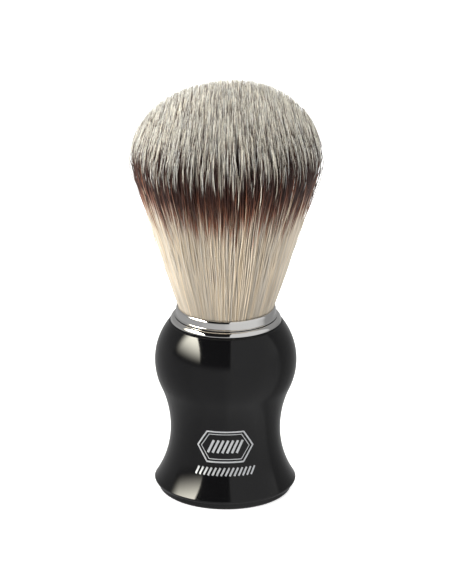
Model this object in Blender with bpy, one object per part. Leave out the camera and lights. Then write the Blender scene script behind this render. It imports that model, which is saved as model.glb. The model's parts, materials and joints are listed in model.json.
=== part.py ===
"""Shaving brush: black moulded handle, chromed collar and a synthetic fibre knot.

The brush stands on its base cap. +Z runs up its axis and the origin is the centre of
the cap's underside. Lengths below are in millimetres; meshes are made in metres.
"""
import math

import bmesh
import bpy
from mathutils import Vector

MM = 0.001
MERGE_DISTANCE = 0.00001

# Clearances
FIT_GAP = 0.3               # between two pieces that sit in or on each other
SWING_GAP = 0.4             # between the knot's moving bundles where they meet

# Handle shell: a bulb over a waist over a flared foot, joined by tangent arcs
SHELL_BOTTOM = 2.0          # height of the shell's lower edge above the table
FOOT_RADIUS = 19.5
FOOT_ROUNDING = 1.0
FOOT_WALL = 4.3             # between the foot's edge and the counterbore for the cap
WAIST_RADIUS = 15.15
WAIST_HEIGHT = 17.75
WAIST_WALL = 4.65           # between the waist and the cored-out hollow
BULB_RADIUS = 19.5
BULB_HEIGHT = 37.65
BULB_ARC_RADIUS = 17.6
SOCKET_RADIUS = 13.0        # bore in the top of the handle, for the knot
SOCKET_DEPTH = 20.1
SHOULDER_WALL = 2.3         # between the socket and the shoulder under the collar
WEB_THICKNESS = 5.0         # solid wall between the socket and the hollow below
RECESS_DEPTH = 4.1          # depth of the counterbore in the foot

# Base cap and ballast
CAP_STEP = 1.1              # how far the cap's edge lies inside the foot's edge
CAP_EDGE_ROUNDING = 1.25
CAP_SPIGOT_WALL = 1.8
CAP_SPIGOT_HEIGHT = 3.6
BALLAST_CLEARANCE = 0.6     # radial play of the ballast in the hollow
BALLAST_HEIGHT = 11.0
BALLAST_CHAMFER = 0.5

# Chromed collar: a rounded flange with a lipped ferrule above it
FLANGE_SETBACK = 0.1        # from the shoulder's edge to the flange's lower edge
FLANGE_HEIGHT = 1.4
FLANGE_SIDE = 0.4           # height of the flange's upright lower edge
FERRULE_BAND_WALL = 1.2     # how far the band's foot stands outside the socket's radius
FERRULE_LIP_WALL = 0.7      # the same above the foot, up to the lip
FERRULE_BAND_HEIGHT = 2.3
FERRULE_FOOT_EDGE = 0.2     # height of the foot's upright edge
FERRULE_FOOT_SLOPE = 0.7    # height over which the foot narrows to the band
FERRULE_LIP_ROUNDING = 0.35
FERRULE_LIP_THICKNESS = 0.5 # from the outside of the lip to the mouth
FERRULE_SKIRT_WALL = 0.6
FERRULE_SKIRT_LENGTH = 4.0

# Knot cup, glue and resin inside the socket
ADHESIVE_THICKNESS = 0.7
CUP_WALL = 1.0
CUP_FLOOR = 1.0
RESIN_HEIGHT = 5.4

# Binding thread round the fibre roots
THREAD_DIAMETER = 0.6
THREAD_TURNS = 4
THREAD_PITCH = 1.0
THREAD_DEPTH = 1.0          # how far the thread draws the bundle in
THREAD_ABOVE_RESIN = 2.2

# Fibre knot: straight flare from the mouth, then a domed head
KNOT_RISE = 0.2             # how far the fixed roots stand above the ferrule
DOME_RADIUS = 25.9
DOME_HEIGHT = 19.35
FREE_LENGTH = 62.4          # from the ferrule's lip to the top of the dome

# The knot's flexing, made as stiff bundles on hinges
BEND_X_ABOVE_LIP = 4.4      # height of the first bending axis, along X
BEND_Y_ABOVE_LIP = 12.4     # height of the second bending axis, along Y
BEND_LIMIT = math.radians(20)
SPLAY_LIMIT = math.radians(20)
RELIEF_MARGIN = math.radians(1)
RIDGE_BELOW_AXIS = 3.5      # how far each wedge's ridge lies under its axis
TUFT_COUNT = 12
TUFT_BASE_ABOVE_LIP = 20.9
CORE_RADIUS = 9.0
TUFT_HINGE_OFFSET = 5.5     # from the core's surface out to the tufts' hinges

# Facets
ROUND_STEPS = 48
THREAD_STEPS_PER_TURN = 24
DOME_STEPS = 9
TUFT_ARC_STEPS = 4
SMOOTH_ANGLE = math.radians(35)

# Radii that follow from the sizes above
SHOULDER_RADIUS = SOCKET_RADIUS + SHOULDER_WALL
HOLLOW_RADIUS = WAIST_RADIUS - WAIST_WALL
RECESS_RADIUS = FOOT_RADIUS - FOOT_WALL
CAP_RADIUS = FOOT_RADIUS - CAP_STEP
CAP_THICKNESS = SHELL_BOTTOM - FIT_GAP
CUP_OUTER_RADIUS = SOCKET_RADIUS - FIT_GAP
CUP_INNER_RADIUS = CUP_OUTER_RADIUS - CUP_WALL
ROOT_RADIUS = CUP_INNER_RADIUS - FIT_GAP
SKIRT_RADIUS = SOCKET_RADIUS - FIT_GAP
SKIRT_BORE = SKIRT_RADIUS - FERRULE_SKIRT_WALL
BAND_RADIUS = SOCKET_RADIUS + FERRULE_BAND_WALL
LIP_RADIUS = SOCKET_RADIUS + FERRULE_LIP_WALL
MOUTH_RADIUS = LIP_RADIUS - FERRULE_LIP_THICKNESS
FLANGE_RADIUS = SHOULDER_RADIUS - FLANGE_SETBACK
TUFT_HINGE_RADIUS = CORE_RADIUS + TUFT_HINGE_OFFSET


def arc(centre, radius, start, end, steps):
    """Points (r, z) along an arc, angles in radians from +r towards +z."""
    points = []
    for i in range(steps + 1):
        angle = start + (end - start) * i / steps
        points.append((centre[0] + radius * math.cos(angle),
                       centre[1] + radius * math.sin(angle)))
    return points


def shoulder_height():
    """Height at which the bulb's arc has narrowed to the shoulder radius."""
    centre = BULB_RADIUS - BULB_ARC_RADIUS
    return BULB_HEIGHT + math.sqrt(BULB_ARC_RADIUS ** 2 - (SHOULDER_RADIUS - centre) ** 2)


def handle_outline():
    """Outer line of the handle from the shoulder down to the rounded foot."""
    bulb = (BULB_RADIUS - BULB_ARC_RADIUS, BULB_HEIGHT)
    step_in = BULB_RADIUS - WAIST_RADIUS
    drop = BULB_HEIGHT - WAIST_HEIGHT
    radii_sum = (step_in ** 2 + drop ** 2) / (2 * step_in)
    upper_radius = radii_sum - BULB_ARC_RADIUS
    upper = (WAIST_RADIUS + upper_radius, WAIST_HEIGHT)
    tangent = math.atan2(upper[1] - bulb[1], upper[0] - bulb[0])
    top = math.acos((SHOULDER_RADIUS - bulb[0]) / BULB_ARC_RADIUS)
    points = arc(bulb, BULB_ARC_RADIUS, top, tangent, 16)
    points += arc(upper, upper_radius, tangent + math.pi, math.pi, 5)[1:]
    foot_top = SHELL_BOTTOM + FOOT_ROUNDING
    flare = FOOT_RADIUS - WAIST_RADIUS
    fall = WAIST_HEIGHT - foot_top
    lower_radius = (flare ** 2 + fall ** 2) / (2 * flare)
    lower = (WAIST_RADIUS + lower_radius, WAIST_HEIGHT)
    sweep = math.asin(fall / lower_radius)
    points += arc(lower, lower_radius, math.pi, math.pi + sweep, 8)[1:]
    corner = (FOOT_RADIUS - FOOT_ROUNDING, foot_top)
    points += arc(corner, FOOT_ROUNDING, 0, -math.pi / 2, 3)[1:]
    return points


SHOULDER_HEIGHT = shoulder_height()
SOCKET_FLOOR = SHOULDER_HEIGHT - SOCKET_DEPTH
HOLLOW_TOP = SOCKET_FLOOR - WEB_THICKNESS
FLANGE_BOTTOM = SHOULDER_HEIGHT + FIT_GAP
FLANGE_TOP = FLANGE_BOTTOM + FLANGE_HEIGHT
FERRULE_BOTTOM = FLANGE_TOP + FIT_GAP
LIP_HEIGHT = FERRULE_BOTTOM + FERRULE_BAND_HEIGHT
SKIRT_BOTTOM = SHOULDER_HEIGHT - FERRULE_SKIRT_LENGTH
ADHESIVE_BOTTOM = SOCKET_FLOOR + FIT_GAP
CUP_BOTTOM = ADHESIVE_BOTTOM + ADHESIVE_THICKNESS + FIT_GAP
CUP_TOP = SKIRT_BOTTOM - FIT_GAP
RESIN_BOTTOM = CUP_BOTTOM + CUP_FLOOR + FIT_GAP
ROOT_BOTTOM = RESIN_BOTTOM + RESIN_HEIGHT + FIT_GAP
ROOT_TOP = LIP_HEIGHT + KNOT_RISE
KNOT_TOP = LIP_HEIGHT + FREE_LENGTH
DOME_CENTRE = KNOT_TOP - DOME_HEIGHT
BEND_X_HEIGHT = LIP_HEIGHT + BEND_X_ABOVE_LIP
BEND_Y_HEIGHT = LIP_HEIGHT + BEND_Y_ABOVE_LIP
TUFT_BASE = LIP_HEIGHT + TUFT_BASE_ABOVE_LIP
NECK_TOP = BEND_Y_HEIGHT - RIDGE_BELOW_AXIS - SWING_GAP


def dome_edge_angle():
    """Angle on the dome's ellipse where a line from the ferrule's mouth just touches it."""
    across = MOUTH_RADIUS / DOME_RADIUS
    down = (LIP_HEIGHT - DOME_CENTRE) / DOME_HEIGHT
    return math.atan2(down, across) + math.acos(1 / math.hypot(across, down))


DOME_EDGE_ANGLE = dome_edge_angle()
KNOT_FLARE = -math.tan(DOME_EDGE_ANGLE) * DOME_RADIUS / DOME_HEIGHT


def knot_radius(height):
    """Radius of the knot's straight flare, which meets the dome as a tangent."""
    return MOUTH_RADIUS + KNOT_FLARE * (height - LIP_HEIGHT)


def dome_point(angle):
    """A point (r, z) on the dome, its angle counted up from the widest level."""
    return (DOME_RADIUS * math.cos(angle), DOME_CENTRE + DOME_HEIGHT * math.sin(angle))


def material(name, colour, roughness, metallic=0.0):
    """A plain surface with a colour (linear RGB), roughness and metallic value."""
    finish = bpy.data.materials.new(name)
    finish.use_nodes = True
    shader = finish.node_tree.nodes["Principled BSDF"]
    shader.inputs["Base Color"].default_value = (*colour, 1.0)
    shader.inputs["Roughness"].default_value = roughness
    shader.inputs["Metallic"].default_value = metallic
    finish.diffuse_color = (*colour, 1.0)
    return finish


def add_object(name, bm, finish, pivot=(0.0, 0.0, 0.0), parent=None):
    """Make a mesh object with its origin on the pivot, all faces pointing out."""
    bmesh.ops.remove_doubles(bm, verts=bm.verts, dist=MERGE_DISTANCE)
    bmesh.ops.recalc_face_normals(bm, faces=bm.faces)
    bmesh.ops.translate(bm, verts=bm.verts, vec=-Vector(pivot))
    mesh = bpy.data.meshes.new(name)
    bm.to_mesh(mesh)
    bm.free()
    mesh.materials.append(finish)
    mesh.shade_smooth()
    mesh.set_sharp_from_angle(angle=SMOOTH_ANGLE)
    obj = bpy.data.objects.new(name, mesh)
    bpy.context.collection.objects.link(obj)
    obj.location = pivot
    if parent is not None:
        obj.parent = parent
        obj.location = Vector(pivot) - parent.matrix_world.translation
    # The next child reads this object's place, so it has to be up to date.
    bpy.context.view_layer.update()
    return obj


def spin_outline(outline, steps=ROUND_STEPS):
    """Turn a closed (r, z) outline round Z; a side that lies on the axis is left out."""
    bm = bmesh.new()
    verts = [bm.verts.new((r * MM, 0.0, z * MM)) for r, z in outline]
    edges = []
    for i, (radius, _) in enumerate(outline):
        j = (i + 1) % len(outline)
        if radius > 0 or outline[j][0] > 0:
            edges.append(bm.edges.new((verts[i], verts[j])))
    bmesh.ops.spin(bm, geom=verts + edges, cent=(0, 0, 0), axis=(0, 0, 1),
                   angle=math.tau, steps=steps, use_merge=True)
    bmesh.ops.remove_doubles(bm, verts=bm.verts, dist=MERGE_DISTANCE)
    return bm


def turned(name, outline, finish):
    """A sub-part turned round the brush's axis."""
    return add_object(name, spin_outline(outline), finish)


def make_handle_shell(finish):
    outline = handle_outline()
    outline += [(RECESS_RADIUS, SHELL_BOTTOM),
                (RECESS_RADIUS, SHELL_BOTTOM + RECESS_DEPTH),
                (HOLLOW_RADIUS, SHELL_BOTTOM + RECESS_DEPTH),
                (HOLLOW_RADIUS, HOLLOW_TOP),
                (0.0, HOLLOW_TOP),
                (0.0, SOCKET_FLOOR),
                (SOCKET_RADIUS, SOCKET_FLOOR),
                (SOCKET_RADIUS, SHOULDER_HEIGHT)]
    return turned("handle_shell", outline, finish)


def make_base_cap(finish):
    spigot = RECESS_RADIUS - FIT_GAP
    spigot_top = CAP_THICKNESS + CAP_SPIGOT_HEIGHT
    corner = CAP_RADIUS - CAP_EDGE_ROUNDING
    outline = [(0.0, 0.0)]
    outline += arc((corner, CAP_EDGE_ROUNDING), CAP_EDGE_ROUNDING, -math.pi / 2, 0, 3)
    outline += [(CAP_RADIUS, CAP_THICKNESS),
                (spigot, CAP_THICKNESS),
                (spigot, spigot_top),
                (spigot - CAP_SPIGOT_WALL, spigot_top),
                (spigot - CAP_SPIGOT_WALL, CAP_THICKNESS),
                (0.0, CAP_THICKNESS)]
    return turned("base_cap", outline, finish)


def make_ballast_weight(finish):
    radius = HOLLOW_RADIUS - BALLAST_CLEARANCE
    bottom = CAP_THICKNESS + FIT_GAP
    top = bottom + BALLAST_HEIGHT
    outline = [(0.0, bottom),
               (radius - BALLAST_CHAMFER, bottom),
               (radius, bottom + BALLAST_CHAMFER),
               (radius, top - BALLAST_CHAMFER),
               (radius - BALLAST_CHAMFER, top),
               (0.0, top)]
    return turned("ballast_weight", outline, finish)


def make_collar_flange(finish):
    bore = SKIRT_RADIUS + FIT_GAP
    outline = [(bore, FLANGE_BOTTOM),
               (FLANGE_RADIUS, FLANGE_BOTTOM)]
    for r, z in arc((0.0, 0.0), 1.0, 0, math.pi / 2, 4):
        outline.append((BAND_RADIUS + r * (FLANGE_RADIUS - BAND_RADIUS),
                        FLANGE_TOP - (1 - z) * (FLANGE_HEIGHT - FLANGE_SIDE)))
    outline.append((bore, FLANGE_TOP))
    return turned("collar_flange", outline, finish)


def make_collar_ferrule(finish):
    lip = (LIP_RADIUS - FERRULE_LIP_ROUNDING, LIP_HEIGHT - FERRULE_LIP_ROUNDING)
    outline = [(SKIRT_BORE, SKIRT_BOTTOM),
               (SKIRT_RADIUS, SKIRT_BOTTOM),
               (SKIRT_RADIUS, FERRULE_BOTTOM),
               (BAND_RADIUS, FERRULE_BOTTOM),
               (BAND_RADIUS, FERRULE_BOTTOM + FERRULE_FOOT_EDGE),
               (LIP_RADIUS, FERRULE_BOTTOM + FERRULE_FOOT_EDGE + FERRULE_FOOT_SLOPE)]
    outline += arc(lip, FERRULE_LIP_ROUNDING, 0, math.pi / 2, 3)
    outline += [(MOUTH_RADIUS, LIP_HEIGHT),
                (SKIRT_BORE, FERRULE_BOTTOM)]
    return turned("collar_ferrule", outline, finish)


def make_knot_cup(finish):
    floor_top = CUP_BOTTOM + CUP_FLOOR
    outline = [(0.0, CUP_BOTTOM),
               (CUP_OUTER_RADIUS, CUP_BOTTOM),
               (CUP_OUTER_RADIUS, CUP_TOP),
               (CUP_INNER_RADIUS, CUP_TOP),
               (CUP_INNER_RADIUS, floor_top),
               (0.0, floor_top)]
    return turned("knot_cup", outline, finish)


def make_setting_adhesive(finish):
    top = ADHESIVE_BOTTOM + ADHESIVE_THICKNESS
    outline = [(0.0, ADHESIVE_BOTTOM),
               (CUP_OUTER_RADIUS, ADHESIVE_BOTTOM),
               (CUP_OUTER_RADIUS, top),
               (0.0, top)]
    return turned("setting_adhesive", outline, finish)


def make_potting_resin(finish):
    top = RESIN_BOTTOM + RESIN_HEIGHT
    outline = [(0.0, RESIN_BOTTOM),
               (ROOT_RADIUS, RESIN_BOTTOM),
               (ROOT_RADIUS, top),
               (0.0, top)]
    return turned("potting_resin", outline, finish)


def thread_span():
    """Lowest and highest points of the wound thread."""
    bottom = ROOT_BOTTOM + THREAD_ABOVE_RESIN
    return bottom, bottom + THREAD_TURNS * THREAD_PITCH + THREAD_DIAMETER


def make_root_bundle(finish):
    """The fixed length of the fibres, drawn in where the thread is wound."""
    drawn_in = ROOT_RADIUS - THREAD_DEPTH
    low, high = thread_span()
    mouth = MOUTH_RADIUS - FIT_GAP
    skirt_inside = SKIRT_BORE - FIT_GAP
    outline = [(0.0, ROOT_BOTTOM),
               (ROOT_RADIUS, ROOT_BOTTOM),
               (ROOT_RADIUS, low - FIT_GAP - THREAD_DEPTH),
               (drawn_in, low - FIT_GAP),
               (drawn_in, high + FIT_GAP),
               (ROOT_RADIUS, high + FIT_GAP + THREAD_DEPTH),
               (ROOT_RADIUS, CUP_TOP),
               (skirt_inside, SKIRT_BOTTOM + THREAD_DEPTH),
               (skirt_inside, FERRULE_BOTTOM),
               (mouth, LIP_HEIGHT),
               (mouth, ROOT_TOP),
               (0.0, ROOT_TOP)]
    return turned("root_bundle", outline, finish)


def make_binding_thread(finish):
    """Thread wound in a close helix round the drawn-in roots."""
    low = thread_span()[0] + THREAD_DIAMETER / 2
    radius = ROOT_RADIUS - THREAD_DEPTH + FIT_GAP + THREAD_DIAMETER / 2
    count = THREAD_TURNS * THREAD_STEPS_PER_TURN + 1
    curve = bpy.data.curves.new("binding_thread", "CURVE")
    curve.dimensions = "3D"
    curve.bevel_depth = THREAD_DIAMETER / 2 * MM
    curve.bevel_resolution = 1
    curve.use_fill_caps = True
    spline = curve.splines.new("POLY")
    spline.points.add(count - 1)
    for i in range(count):
        angle = math.tau * i / THREAD_STEPS_PER_TURN
        height = low + THREAD_PITCH * i / THREAD_STEPS_PER_TURN
        spline.points[i].co = (radius * math.cos(angle) * MM,
                               radius * math.sin(angle) * MM, height * MM, 1.0)
    curve.materials.append(finish)
    obj = bpy.data.objects.new("binding_thread", curve)
    bpy.context.collection.objects.link(obj)
    return obj


def cut_wedge(bm, axis_height, along_x):
    """Cut the underside to a wedge whose ridge lies under the bending axis."""
    ridge = (axis_height - RIDGE_BELOW_AXIS) * MM
    slope = BEND_LIMIT + RELIEF_MARGIN
    for side in (-1, 1):
        lean = side * math.sin(slope)
        normal = Vector((0, lean, -math.cos(slope)))
        if not along_x:
            normal = Vector((lean, 0, -math.cos(slope)))
        whole = bm.verts[:] + bm.edges[:] + bm.faces[:]
        cut = bmesh.ops.bisect_plane(bm, geom=whole, dist=1e-7, plane_co=(0, 0, ridge),
                                     plane_no=normal, clear_outer=True)
        rim = [item for item in cut["geom_cut"] if isinstance(item, bmesh.types.BMEdge)]
        bmesh.ops.holes_fill(bm, edges=rim, sides=0)


def make_neck_bundle(finish):
    """The first stiff length of the free fibres; it bends about the X axis."""
    bottom = BEND_X_HEIGHT - RIDGE_BELOW_AXIS - 1.0
    outline = [(0.0, bottom),
               (knot_radius(bottom), bottom),
               (knot_radius(NECK_TOP), NECK_TOP),
               (0.0, NECK_TOP)]
    bm = spin_outline(outline)
    cut_wedge(bm, BEND_X_HEIGHT, along_x=True)
    return add_object("neck_bundle", bm, finish, pivot=(0, 0, BEND_X_HEIGHT * MM))


def make_core_bundle(finish, neck):
    """The head's base and its centre column; it bends about the Y axis."""
    bottom = BEND_Y_HEIGHT - RIDGE_BELOW_AXIS - 1.0
    deck = TUFT_BASE - SWING_GAP
    outline = [(0.0, bottom),
               (knot_radius(bottom), bottom),
               (knot_radius(deck), deck),
               (CORE_RADIUS, deck)]
    crown = math.acos(CORE_RADIUS / DOME_RADIUS)
    for step in range(DOME_STEPS):
        angle = crown + (math.pi / 2 - crown) * step / DOME_STEPS
        outline.append(dome_point(angle))
    outline.append((0.0, KNOT_TOP))
    bm = spin_outline(outline)
    cut_wedge(bm, BEND_Y_HEIGHT, along_x=False)
    return add_object("core_bundle", bm, finish, pivot=(0, 0, BEND_Y_HEIGHT * MM), parent=neck)


def tuft_outline():
    """Cross-section of one tuft, with its underside relieved for the splay."""
    inner = CORE_RADIUS + SWING_GAP
    slope = math.tan(SPLAY_LIMIT + RELIEF_MARGIN)
    # The relief rises from the hinge line and meets the flare at its outer end.
    rise = slope * (knot_radius(TUFT_BASE) - TUFT_HINGE_RADIUS) / (1 - slope * KNOT_FLARE)
    outer_height = TUFT_BASE + rise
    outline = [(inner, TUFT_BASE)]
    crown = math.acos(inner / DOME_RADIUS)
    for step in range(DOME_STEPS + 1):
        angle = crown + (DOME_EDGE_ANGLE - crown) * step / DOME_STEPS
        outline.append(dome_point(angle))
    outline += [(knot_radius(outer_height), outer_height),
                (TUFT_HINGE_RADIUS, TUFT_BASE)]
    return outline


def make_tuft(number, finish, core):
    """One sector of the head's fibres, hinged at its foot so that it can splay."""
    turn = math.tau * (number - 0.5) / TUFT_COUNT
    half = math.pi / TUFT_COUNT
    bm = bmesh.new()
    rows = []
    for step in range(TUFT_ARC_STEPS + 1):
        share = 2 * step / TUFT_ARC_STEPS - 1
        row = []
        for r, z in tuft_outline():
            angle = turn + share * (half - math.asin(SWING_GAP / 2 / r))
            row.append(bm.verts.new((r * math.cos(angle) * MM, r * math.sin(angle) * MM,
                                     z * MM)))
        rows.append(row)
    for first, second in zip(rows, rows[1:]):
        for i in range(len(first)):
            j = (i + 1) % len(first)
            bm.faces.new((first[i], first[j], second[j], second[i]))
    bm.faces.new(rows[0])
    bm.faces.new(rows[-1])
    hinge = (TUFT_HINGE_RADIUS * math.cos(turn) * MM,
             TUFT_HINGE_RADIUS * math.sin(turn) * MM, TUFT_BASE * MM)
    return add_object(f"tuft_{number:02d}", bm, finish, pivot=hinge, parent=core)


def clear_scene():
    for obj in list(bpy.data.objects):
        bpy.data.objects.remove(obj, do_unlink=True)


def main():
    clear_scene()
    make_handle_shell(material("gloss black ABS", (0.012, 0.012, 0.012), 0.12))
    make_base_cap(material("satin black ABS", (0.02, 0.02, 0.02), 0.35))
    make_ballast_weight(material("zinc plated steel", (0.5, 0.5, 0.52), 0.4, 1.0))
    make_collar_flange(material("chrome plate flange", (0.8, 0.8, 0.82), 0.06, 1.0))
    make_collar_ferrule(material("chrome plate ferrule", (0.75, 0.75, 0.78), 0.05, 1.0))
    make_knot_cup(material("white nylon", (0.75, 0.74, 0.7), 0.5))
    make_setting_adhesive(material("clear epoxy", (0.6, 0.5, 0.3), 0.2))
    make_potting_resin(material("amber potting resin", (0.45, 0.3, 0.12), 0.25))
    make_binding_thread(material("white polyester thread", (0.8, 0.8, 0.78), 0.8))
    make_root_bundle(material("cream fibre roots", (0.65, 0.56, 0.46), 0.7))
    neck = make_neck_bundle(material("cream fibre neck", (0.66, 0.58, 0.48), 0.7))
    core = make_core_bundle(material("cream fibre core", (0.68, 0.6, 0.5), 0.7), neck)
    for number in range(1, TUFT_COUNT + 1):
        shade = 0.95 if number % 2 else 1.0
        colour = (0.6 * shade, 0.57 * shade, 0.52 * shade)
        make_tuft(number, material(f"silver tipped fibre {number:02d}", colour, 0.7), core)


main()
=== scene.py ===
"""Shaving brush: moulded black handle, chromed collar and a knot of dyed synthetic fibres.

Lengths are in metres. The brush stands on its base cap at the origin and +Z is its axis.
"""
import json
import math
from functools import partial

import bmesh
import bpy
from bpy.props import FloatProperty, FloatVectorProperty, IntProperty, PointerProperty
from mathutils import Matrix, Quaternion, Vector


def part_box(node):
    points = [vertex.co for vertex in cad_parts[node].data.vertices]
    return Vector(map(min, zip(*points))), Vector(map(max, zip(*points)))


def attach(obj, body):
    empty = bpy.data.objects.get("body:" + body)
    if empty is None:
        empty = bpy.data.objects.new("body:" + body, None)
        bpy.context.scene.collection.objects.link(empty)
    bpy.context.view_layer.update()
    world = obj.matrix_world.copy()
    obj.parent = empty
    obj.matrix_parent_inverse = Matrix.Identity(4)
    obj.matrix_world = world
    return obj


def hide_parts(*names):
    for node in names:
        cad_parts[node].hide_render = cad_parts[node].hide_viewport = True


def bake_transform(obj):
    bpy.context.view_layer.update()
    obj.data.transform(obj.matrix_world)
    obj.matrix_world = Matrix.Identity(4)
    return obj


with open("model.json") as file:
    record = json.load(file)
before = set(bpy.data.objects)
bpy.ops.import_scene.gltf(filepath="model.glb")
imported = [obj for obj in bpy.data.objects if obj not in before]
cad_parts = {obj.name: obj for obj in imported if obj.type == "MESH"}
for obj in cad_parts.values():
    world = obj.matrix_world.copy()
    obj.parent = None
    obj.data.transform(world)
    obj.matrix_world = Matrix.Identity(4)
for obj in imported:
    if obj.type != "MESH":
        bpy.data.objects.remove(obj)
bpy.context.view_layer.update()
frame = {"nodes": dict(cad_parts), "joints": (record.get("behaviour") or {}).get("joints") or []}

bl_info = {
    "name": "Shaving Brush",
    "version": (1, 0, 0),
    "blender": (4, 5, 0),
    "location": "View3D > Sidebar > Brush",
    "description": "Builds the visible pieces of a shaving brush round its frame",
    "category": "Add Mesh",
}

MM = 0.001
MATH, VECTOR, RANGE = "ShaderNodeMath", "ShaderNodeVectorMath", "ShaderNodeMapRange"
SPLIT, MIX, NOISE = "ShaderNodeSeparateXYZ", "ShaderNodeMix", "ShaderNodeTexNoise"
GOLDEN_TURN = 0.6180339887
STRIPS = 128                # columns of the fibres' colour map, one shade to each
STRIP_MARGIN = 0.15         # share of a column left clear at each side
FIBRE_SPAN = 66 * MM        # length of fibre that the colour map covers
LIP_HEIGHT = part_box("collar_ferrule")[1].z
DOME_RISE = 19.35 * MM      # from the knot's widest place up to its top in the frame
DOME_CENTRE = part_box("core_bundle")[1].z - DOME_RISE
JOINT_HEIGHT = {joint["name"]: joint["pos_m"][2] for joint in frame["joints"]}
TUFTS = sorted(name for name in frame["nodes"] if name.startswith("tuft_"))
BEND_REACH = 4 * MM         # fibres turn this far above and below a bending axis
STAGGER = 2 * MM            # a fibre's pieces meet up to this far from the seam's height
DYE_SPAN = 30.0             # millimetres of a fibre's tip that the dye's colours cover
OUTER_SHARE = 0.7           # share of the fibres, from the axis out, that others hide
CORE_RADIUS = 9.2 * MM      # radius of the middle fibres at the height of the tufts' hinges
LEAN = 0.5 * MM             # most that a fibre strays from its place, each way
BOW_TURN = 12.0             # radians of its slow bow between the mouth and the dome
ROUND_BELOW = 2 * MM        # fibres are shaded round from this far below the widest place
MOUTH_GAP = 0.15 * MM       # from the mouth to the middle of the outermost fibres
ROOT_DEPTH = 4.5 * MM       # length of visible fibre that goes on below the lip
HEART_INSET = 2.2 * MM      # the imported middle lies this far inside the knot's outside
SOCKET_DEPTH = 19 * MM      # depth of the bore that holds the knot
SEAM = 0.05 * MM            # shadow gap between the foot and its cap


def linear(text):
    """Linear RGB from an sRGB hex colour."""
    shares = [int(text[i:i + 2], 16) / 255 for i in (1, 3, 5)]
    return tuple(c / 12.92 if c <= 0.04045 else ((c + 0.055) / 1.055) ** 2.4 for c in shares)


def distance(name, description, millimetres):
    """A length that a user may change, given in millimetres."""
    return FloatProperty(name=name, description=description, default=millimetres * MM,
                         unit="LENGTH", subtype="DISTANCE", precision=5)


def colour(name, description, text):
    """A colour that a user may change, given as an sRGB hex value."""
    return FloatVectorProperty(name=name, description=description, default=linear(text),
                               size=3, subtype="COLOR", min=0, max=1)


class HandleSettings(bpy.types.PropertyGroup):
    foot_radius: distance("Foot Radius", "Widest radius of the flared foot", 19.5)
    foot_rounding: distance("Foot Rounding", "Rounding of the foot's lower edge", 1.0)
    waist_radius: distance("Waist Radius", "Narrowest radius of the handle", 15.15)
    waist_height: distance("Waist Height", "Height of the narrowest place", 17.75)
    bulb_radius: distance("Bulb Radius", "Widest radius of the bulb", 19.5)
    bulb_height: distance("Bulb Height", "Height of the widest place", 37.65)
    bulb_arc: distance("Bulb Arc", "Radius of the bulb's side curve", 17.6)
    shoulder_radius: distance("Shoulder Radius", "Where the bulb meets the collar", 15.3)
    shoulder_rounding: distance("Shoulder Rounding", "Rounding of that edge", 0.25)
    socket_radius: distance("Socket Radius", "Bore that holds the knot", 13.0)
    cap_radius: distance("Cap Radius", "Radius of the plate under the foot", 18.4)
    cap_rounding: distance("Cap Rounding", "Rounding of that plate's edge", 1.25)
    black: colour("Black", "Colour of the moulded plastic", "#0B0B0C")


class CollarSettings(bpy.types.PropertyGroup):
    flange_radius: distance("Flange Radius", "Radius at the flange's lower edge", 15.2)
    flange_side: distance("Flange Side", "Height of the flange's upright edge", 0.12)
    foot_radius: distance("Foot Radius", "Radius at the ferrule's flared foot", 14.05)
    foot_edge: distance("Foot Edge", "Height of that foot's upright edge", 0.06)
    foot_slope: distance("Foot Slope", "Height over which the foot flares out", 0.3)
    band_radius: distance("Band Radius", "Radius of the ferrule under its lip", 13.7)
    lip_rounding: distance("Lip Rounding", "Depth of the lip's rounded edge", 0.5)
    lip_fall: distance("Lip Fall", "Height of the lip's rounded edge", 1.0)
    mouth_radius: distance("Mouth Radius", "Radius inside the lip", 13.2)
    skirt_bore: distance("Skirt Bore", "Bore of the ferrule inside the socket", 12.1)
    chrome: colour("Chrome", "Reflected tint of the plating", "#DEDDDB")


class PrintSettings(bpy.types.PropertyGroup):
    width: distance("Width", "Width of the printed ornament", 17.0)
    low: distance("Low", "Height of the ornament's lower edge", 9.4)
    high: distance("High", "Height of the ornament's upper edge", 22.0)
    line: distance("Line", "Thickness of a printed line", 0.34)
    ink: colour("Ink", "Colour of the silver ink", "#B9BBBE")


class KnotSettings(bpy.types.PropertyGroup):
    count: IntProperty(name="Fibres", description="Number of fibres in the knot",
                       default=13500, min=1000, max=14000)
    seed: IntProperty(name="Seed", description="Seed of the fibres' random values", default=7)
    thickness: distance("Thickness", "Thickness of a fibre", 0.22)
    tip_thickness: distance("Tip Thickness", "Thickness at its drawn-out tip", 0.06)
    taper: distance("Taper", "Length of the drawn-out tip", 11)
    dome_radius: distance("Dome Radius", "Widest radius of the knot", 25.7)
    dome_height: distance("Dome Height", "From there up to the top", 20.0)
    dome_under: distance("Dome Under", "How far the dome's curve would reach below", 22)
    fullness: FloatProperty(name="Fullness", description="2 gives an elliptical dome",
                            default=2.07, min=1.5, max=4)
    slant: FloatProperty(name="Slant", description="Tilt of the dome's top", default=0.06)
    rim_radius: distance("Rim Radius", "Where the outermost tips end on the dome", 23.5)
    clump: distance("Clump", "Distance between the small clumps of tips", 1.3)
    uneven: distance("Unevenness", "How much shorter the shortest tips are", 5.5)
    cream: colour("Cream", "Colour of the undyed fibre", "#CABFAF")
    brown: colour("Brown", "Colour at the lower edge of the dyed band", "#7E5240")
    dark: colour("Dark", "Colour of the dyed band", "#412C27")
    tip: colour("Tip", "Colour of the silvery tips", "#E0DDD3")


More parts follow.
